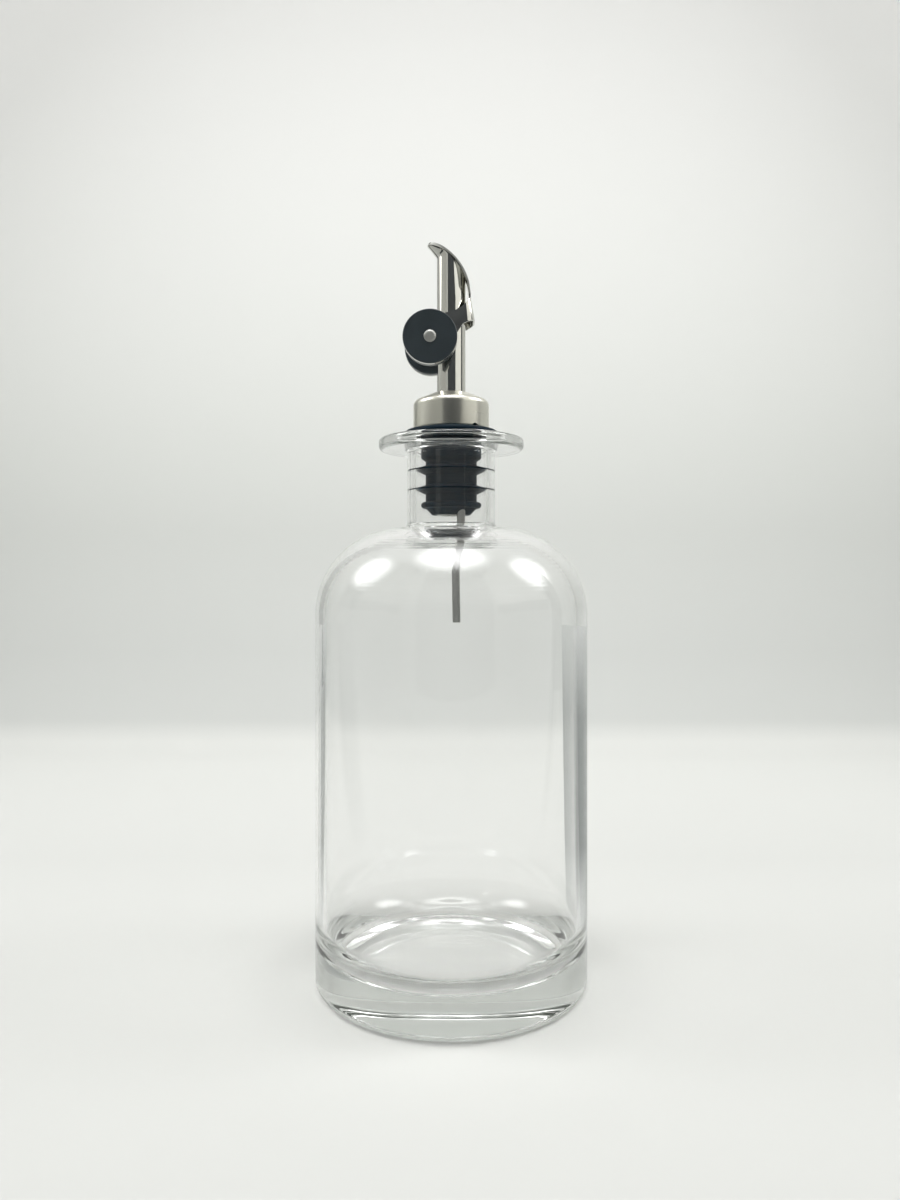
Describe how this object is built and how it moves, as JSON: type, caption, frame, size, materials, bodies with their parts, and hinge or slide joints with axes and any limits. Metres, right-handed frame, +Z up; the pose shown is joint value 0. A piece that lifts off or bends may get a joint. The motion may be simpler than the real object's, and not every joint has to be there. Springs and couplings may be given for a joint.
{
  "type": "oil bottle",
  "caption": "Clear glass oil bottle with a heavy base and flat rim, closed by a rubber stopper whose steel spout has a weighted flap that opens as it pours.",
  "frame": {"origin": "centre of the base, on the surface the bottle stands on", "axes": "+Z up along the bottle's axis; the spout pours towards -X; the flap's pivot lies along Y"},
  "size_m": [0.082, 0.082, 0.2232],
  "materials": {
    "glass": "clear",
    "black_rubber": "matte",
    "satin_steel": "satin",
    "polished_steel": "polished",
    "black_weight": "satin black faces with a bare steel edge",
    "rivet_steel": "matte"
  },
  "bodies": {
    "bottle": {"bottle": "glass"},
    "pourer": {"stopper": "black_rubber", "collar": "satin_steel", "spout_tube": "polished_steel", "vent_tube": "polished_steel", "pivot_stud_front": "polished_steel", "pivot_stud_rear": "polished_steel"},
    "flap": {"flap": "polished_steel", "weight_front": "black_weight", "weight_rear": "black_weight", "weight_rivet_front": "rivet_steel", "weight_rivet_rear": "rivet_steel"}
  },
  "joints": [
    {"name": "pourer_pull", "type": "slide", "parent": "bottle", "child": "pourer", "axis": [0, 0, 1], "range_m": [0, 0.06]},
    {"name": "flap_hinge", "type": "hinge", "parent": "pourer", "child": "flap", "pos_m": [0, 0, 0.196], "axis": [0, 1, 0], "range_deg": [0, 75]}
  ]
}
